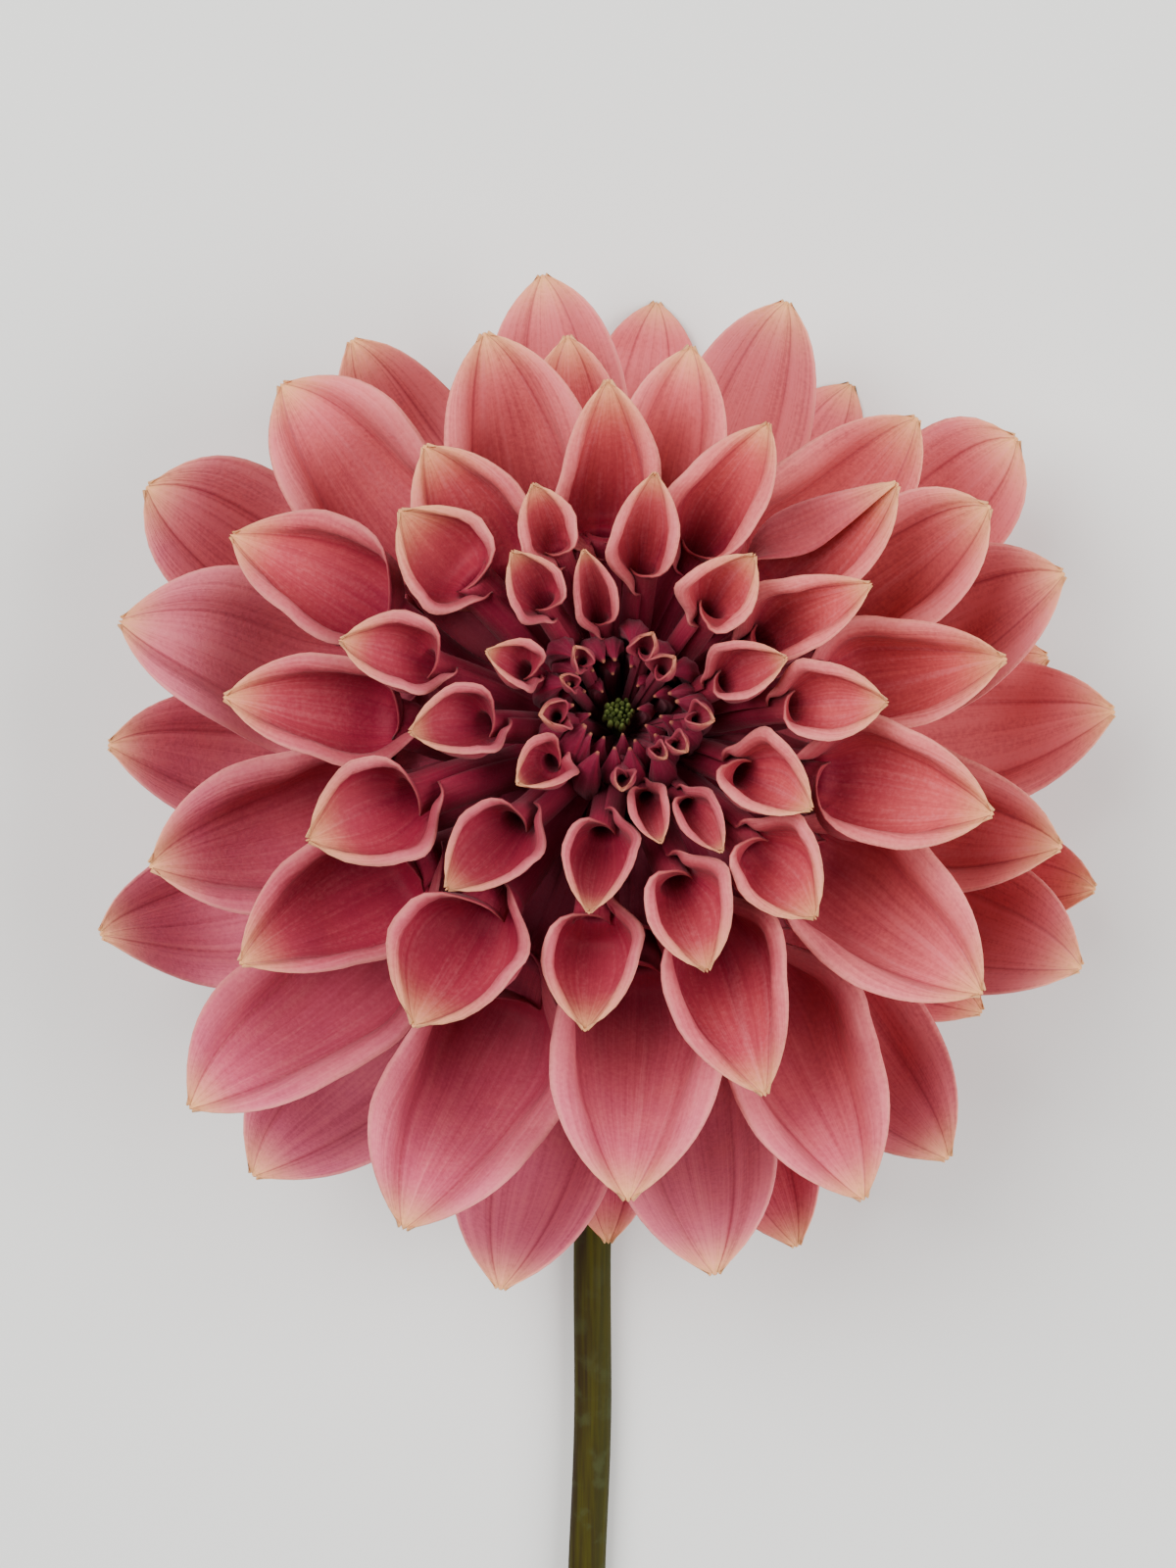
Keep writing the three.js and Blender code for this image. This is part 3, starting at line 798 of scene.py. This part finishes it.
# ---- the bloom ----
rng = np.random.default_rng(7)
canopy = Canopy()
petal = petal_material()


def laid(floret, most):
    canopy.press(floret, most)
    canopy.add(floret)
    return floret


BUD_COUNT = 36
# Of the innermost and the outermost bud: reach and height of the tip, radius, elevations of the ways in
# which the foot leaves and the tip arrives, and length of the bend at the tip.
BUD_REACH = (3.8, 12.8)
BUD_HEIGHT = (43.5, 54.5)
BUD_RADIUS = (1.7, 3.2)
BUD_FOOT_WAY = (84, 50)
BUD_TIP_WAY = (172, 150)
BUD_BEND = (6.5, 8.5)
BUD_SHIFT = 4  # most change of a bud's azimuth, height and lean
BUD_RISE = 0.8
BUD_SWING = 12
BUD_SIDES = 28
BUD_ROWS = 26
BUD_RIBS = 7
BUD_RIB = 0.07
BUD_FLATNESS = 0.78
BUD_TAPER = 3.2  # length of the pointed end, in radii of the bud
BUD_PIT = 0.8  # depth of the little hollow at a bud's tip
BUD_RIM = 0.6  # and its width, of the width of the end
BUD_THROAT = 0.25  # how deep a bud's colour is, and how golden its tip
BUD_GOLD = 1.7
BESIDE_FLORET = 16  # a bud within this turn of a floret of the fifth whorl stays short of its mouth
SHORT_OF_MOUTH = 6.5


def bud(n):
    """A pointed closed floret that rises from the receptacle and leans over the eye.

    Rings round a cubic path, flattened, and ribbed by cos(7 * angle). Their radius falls over the pointed
    end as 1 - 0.9 * x ** 1.5. The last two rings sink back into a little hollow.
    """
    grown = (n / (BUD_COUNT - 1)) ** 0.6
    reach, height, size, foot_elevation, tip_elevation, bend = (
        first + (last - first) * grown
        for first, last in (BUD_REACH, BUD_HEIGHT, BUD_RADIUS, BUD_FOOT_WAY, BUD_TIP_WAY, BUD_BEND))
    azimuth = n * GOLDEN_ANGLE % 360 + rng.uniform(-BUD_SHIFT, BUD_SHIFT)
    height += rng.uniform(-BUD_RISE, BUD_RISE)
    for other, _, _, mouth in WHORLS["fifth"]["florets"]:
        if abs(difference(azimuth, other)) < BESIDE_FLORET:
            reach = min(reach, mouth - SHORT_OF_MOUTH)
    foot_way = on_sphere(azimuth, foot_elevation)
    foot = (RECEPTACLE_RADIUS - 1) * foot_way
    tip = at(azimuth, reach, height)
    tip_way = on_sphere(azimuth + rng.uniform(-BUD_SWING, BUD_SWING), tip_elevation)
    s = 1 - np.linspace(1, 0, BUD_ROWS) ** 1.4
    pulls = (FOOT_PULL, bend / np.linalg.norm(tip - foot))
    path, length = cubic(foot, foot_way, tip, tip_way, pulls, s)
    along, across, inward = frames(path, azimuth)

    steps = np.linalg.norm(np.diff(path, axis=0), axis=1)
    left = np.concatenate([np.cumsum(steps[::-1])[::-1], [0]])
    radius = size * (1 - 0.9 * np.clip(1 - left / (BUD_TAPER * size), 0, 1) ** 1.5)
    angle = corners_of_ring(BUD_SIDES)
    ribbed = radius[:, None] * (1 + BUD_RIB * np.cos(BUD_RIBS * angle + n))
    rings = (path[:, None] + (ribbed * np.cos(angle))[..., None] * across[:, None]
             + (BUD_FLATNESS * ribbed * np.sin(angle))[..., None] * inward[:, None])
    start = np.tile(path[0], (1, BUD_SIDES, 1))
    rim = path[-1] + (rings[-1:] - path[-1]) * BUD_RIM
    pit = np.tile(path[-1] - along[-1] * BUD_PIT, (1, BUD_SIDES, 1))
    rings = np.concatenate([start, rings, rim, pit])

    grid = np.ones(rings.shape[:2])
    share = np.concatenate([[0], s, [1, 1]])[:, None] * grid
    round_way = (angle / np.pi - 1) * grid
    last_millimetre = smooth(1 + (share - 1) * length)
    points, quads, uv, _ = closed_rings(to_row(rings), n, BUD_COUNT)
    values = dict(
        place=vectors_of(round_way * 0.5, share, rng.random() * grid),
        look=vectors_of(BUD_THROAT * grid, 0 * grid, grid),
        mark=vectors_of(0 * grid, BUD_GOLD * last_millimetre, 0 * grid))
    return points, quads, uv, values


build("closed_buds", [bud(n) for n in range(BUD_COUNT)], petal, "heart")
for n, (azimuth, reach, breadth) in enumerate(EYE_FLORETS):
    height = tip_height("fifth", azimuth, reach) + EYE_LIFT
    floret = laid(blade(azimuth, reach, breadth, height, EYE_WHORL, rng), EYE_WHORL["sink"])
    build(f"eye_floret_{n + 1}", [floret_part(floret, rng.random())], petal, "heart")


def foot_azimuth(florets, index):
    """A foot swings part of the way from its tip's azimuth to its even place round the receptacle."""
    azimuth = florets[index][0]
    even_place = florets[0][0] + 360 * index / len(florets)
    return azimuth - FOOT_SWING * np.clip(difference(azimuth, even_place), -MOST_SWING, MOST_SWING)


def inside_out(name):
    """The places in a whorl's list, from the floret nearest the axis to the furthest."""
    florets = WHORLS[name]["florets"]
    return sorted(range(len(florets)), key=lambda index: florets[index][1])


def grown_floret(name, index):
    """The part of one floret of a whorl, laid under the florets before it."""
    whorl = WHORLS[name]
    azimuth, reach, breadth, *mouth = whorl["florets"][index]
    # Painted shade on the bloom's left: the deep colour of the throat reaches further there.
    own = dict(whorl, taper=whorl["taper"] * rng.uniform(*TAPERS),
               blush=whorl["blush"] - SHADED_SIDE_BLUSH * np.cos(np.radians(azimuth)))
    own.update(ODD_ONES.get((name, azimuth), {}))
    floret = blade(
        azimuth + own.get("turn", 0), reach, breadth, tip_height(name, azimuth, reach), own, rng,
        foot_azimuth(whorl["florets"], index), mouth[0] if mouth else None)
    return floret_part(laid(floret, own["sink"]), rng.random())


for name in HEART_WHORLS:
    for index in inside_out(name):
        build(f"{name}_whorl_{index + 1}", [grown_floret(name, index)], petal, "heart")

first_number = 1
for name in RAY_WHORLS:
    for index in inside_out(name):
        number = first_number + index
        build(f"ray_floret_{number}", [grown_floret(name, index)], petal, f"petal_{number:02d}")
    first_number += len(WHORLS[name]["florets"])

leaf = leaf_material("bract", srgb(140, 152, 84), srgb(88, 104, 44))
for n, (azimuth, reach, breadth) in enumerate(WHORLS["bract"]["florets"]):
    bract = blade(azimuth, reach, breadth, BRACT_HEIGHT, WHORLS["bract"], rng)
    build(f"bract_leaf_{n + 1}", [floret_part(bract, rng.random())], leaf, f"bract_{n + 1}")


# ---- round pieces: a profile carried along a path or round an axis ----
ROUND_SIDES = 48
STEM_ROWS = 160
STEM_RIBS = 5
STEM_RIB = 0.018
STEM_CHAMFER = 0.3
BORE_ROWS = 6
BEND_KNOTS = 6
RECEPTACLE_ROWS = 24
NECK_SWELL = 0.5  # how much wider than the stalk the receptacle's lowest ring is
NECK_ELEVATION = -50  # where the receptacle leaves its sphere for the neck


def through(knots, count):
    """Smooth curve through the knots: Catmull-Rom pieces, each a cubic in its own share of the run."""
    padded = np.concatenate([[2 * knots[0] - knots[1]], knots, [2 * knots[-1] - knots[-2]]])
    place = np.linspace(0, len(knots) - 1, count)
    k = np.minimum(place.astype(int), len(knots) - 2)
    f = (place - k)[:, None]
    a, b, c, d = (padded[k + i] for i in range(4))
    return 0.5 * (2 * b + (c - a) * f + (2 * a - 5 * b + 4 * c - d) * f ** 2
                  + (3 * b - a - 3 * c + d) * f ** 3)


def stem_path():
    """Centreline: along the bloom's axis, round one bend, then flat on the surface with a slight sway."""
    lean = np.radians(HEAD_TILT)
    top = HEAD - (NECK_DEPTH - 1) * np.array([0, np.sin(lean), np.cos(lean)])
    lying = STEM_DIAMETER / 2 + STEM_LIFT
    bend = (top[2] - lying) / (1 - np.sin(lean))
    turn = np.radians(np.linspace(HEAD_TILT, 90, BEND_KNOTS))
    arc = np.stack([
        np.full(BEND_KNOTS, top[0]),
        top[1] - bend * (np.cos(lean) - np.cos(turn)),
        top[2] - bend * (np.sin(turn) - np.sin(lean))], 1)
    flat = [[HEAD[0] + offset, HEAD[1] - run, lying] for run, offset in STEM_SWAY]
    end = [[flat[-1][0], HEAD[1] - STEM_LENGTH, lying]]
    return through(np.concatenate([arc, flat, end]), STEM_ROWS)


def stem_part():
    """The stalk: rings of radius R * (1 + STEM_RIB * cos(5 * angle)) along the centreline, closed at the
    neck. At the cut they turn inwards and go back up the bore, all square to the end of the stem."""
    line = stem_path()
    along = np.gradient(line, axis=0)
    along = unit(np.concatenate([along[:1], along, np.repeat(along[-1:], BORE_ROWS + 2, 0)]))
    bore = line[-1] + unit(line[-1] - line[-2]) * np.linspace(0, -STEM_BORE_DEPTH, BORE_ROWS)[:, None]
    path = np.concatenate([line[:1], line, line[-1:], bore, bore[-1:]])
    radius = np.concatenate([
        [0], np.full(STEM_ROWS, STEM_DIAMETER / 2), [STEM_DIAMETER / 2 - STEM_CHAMFER],
        np.full(BORE_ROWS, STEM_BORE / 2), [0]])
    third = unit(np.cross(along, [1.0, 0, 0]))
    across = np.cross(third, along)
    angle = corners_of_ring(ROUND_SIDES)
    ribbed = radius[:, None] * (1 + STEM_RIB * np.cos(STEM_RIBS * angle))
    ring = np.cos(angle)[..., None] * across[:, None] + np.sin(angle)[..., None] * third[:, None]
    return closed_rings((path[:, None] + ribbed[..., None] * ring)[::-1])


def lathe(radius, height, sides):
    """Rings round the third axis, one for each radius and height."""
    angle = corners_of_ring(sides)
    radius, height = radius[:, None], height[:, None]
    return np.stack([radius * np.cos(angle), radius * np.sin(angle), height + 0 * angle], -1)


def receptacle_part():
    """The swollen top of the stem: a point and a ring at the neck, and then rings of radius
    R * cos(elevation) at heights R * sin(elevation)."""
    elevation = np.radians(np.linspace(NECK_ELEVATION, 90, RECEPTACLE_ROWS))
    radius = np.concatenate([[0, STEM_DIAMETER / 2 + NECK_SWELL], RECEPTACLE_RADIUS * np.cos(elevation)])
    height = np.concatenate([[-NECK_DEPTH, -NECK_DEPTH], RECEPTACLE_RADIUS * np.sin(elevation)])
    radius[-1] = 0
    return closed_rings(to_row(lathe(radius, height, ROUND_SIDES)))


stem_green = stem_material()
build("stem_stalk", [stem_part()], stem_green, "stem")
build("receptacle", [receptacle_part()], stem_green, "stem")

CORE_COUNT = 26
CORE_REACH = 3.2
CORE_HEIGHT = 38.8
CORE_RISES = (-1.2, 0.8)
CORE_RADII = (0.7, 1.1)
CORE_HALF_LENGTH = 3.6
CORE_ROWS = 9
CORE_SIDES = 10


def core_parts():
    """Tiny green points in a sunflower spiral. Each is a stack of rings of radius
    r * sin(x) ** 0.8 * (1 - x / 6) at heights -cos(x) times half its length."""
    x = np.linspace(0, np.pi, CORE_ROWS)
    parts = []
    for n in range(CORE_COUNT):
        reach = CORE_REACH * np.sqrt((n + 0.3) / CORE_COUNT)
        radius = rng.uniform(*CORE_RADII) * np.sin(x) ** 0.8 * (1 - x / 6)
        radius[0] = radius[-1] = 0
        centre = at(n * GOLDEN_ANGLE, reach, CORE_HEIGHT + rng.uniform(*CORE_RISES))
        rings = centre + lathe(radius, -CORE_HALF_LENGTH * np.cos(x), CORE_SIDES)
        parts.append(closed_rings(to_row(rings), n, CORE_COUNT))
    return parts


core_green = leaf_material("core", srgb(132, 146, 74), srgb(48, 58, 24))
build("green_core", core_parts(), core_green, "heart")


# ---- surface, light and camera ----
SURFACE_REACH = 3.0
SKY_COLOUR = (0.95, 0.97, 1.0, 1)
SKY_STRENGTH = 0.36
CAMERA_OFFSET = (-6.64, -8.98)  # from the head, so that the eye lies where the photograph has it
CAMERA_HEIGHT = 705.5
FOCAL_PIXELS = 3182
IMAGE_HEIGHT = 1600
SENSOR = 36


def floor():
    mesh = bpy.data.meshes.new("surface")
    reach = SURFACE_REACH
    corners = [(-reach, -reach, 0), (reach, -reach, 0), (reach, reach, 0), (-reach, reach, 0)]
    mesh.from_pydata(corners, [], [(0, 1, 2, 3)])
    mesh.materials.append(surface_material())
    piece = link("surface", mesh)


def area_light(name, place, size, power):
    """A square soft light at a place in metres, turned to the bloom."""
    light = bpy.data.lights.new(name, "AREA")
    light.size = size
    light.energy = power
    lamp = link(name, light)
    lamp.location = place
    target = Vector(HEAD * MM)
    lamp.rotation_euler = (target - lamp.location).to_track_quat("-Z", "Y").to_euler()


floor()
area_light("sky", (-0.85, 0.50, 1.40), 1.2, 42)
area_light("front", (1.1, 0.00, 1.1), 1.2, 29)
world = bpy.data.worlds.new("studio")
world.use_nodes = True
fill(world.node_tree.nodes["Background"], {"Color": SKY_COLOUR, "Strength": SKY_STRENGTH})
bpy.context.scene.world = world

camera_data = bpy.data.cameras.new("camera")
camera_data.sensor_width = SENSOR
camera_data.lens = FOCAL_PIXELS * SENSOR / IMAGE_HEIGHT
camera = link("camera", camera_data)
camera.location = (HEAD + np.array([*CAMERA_OFFSET, CAMERA_HEIGHT])) * MM
bpy.context.scene.camera = camera
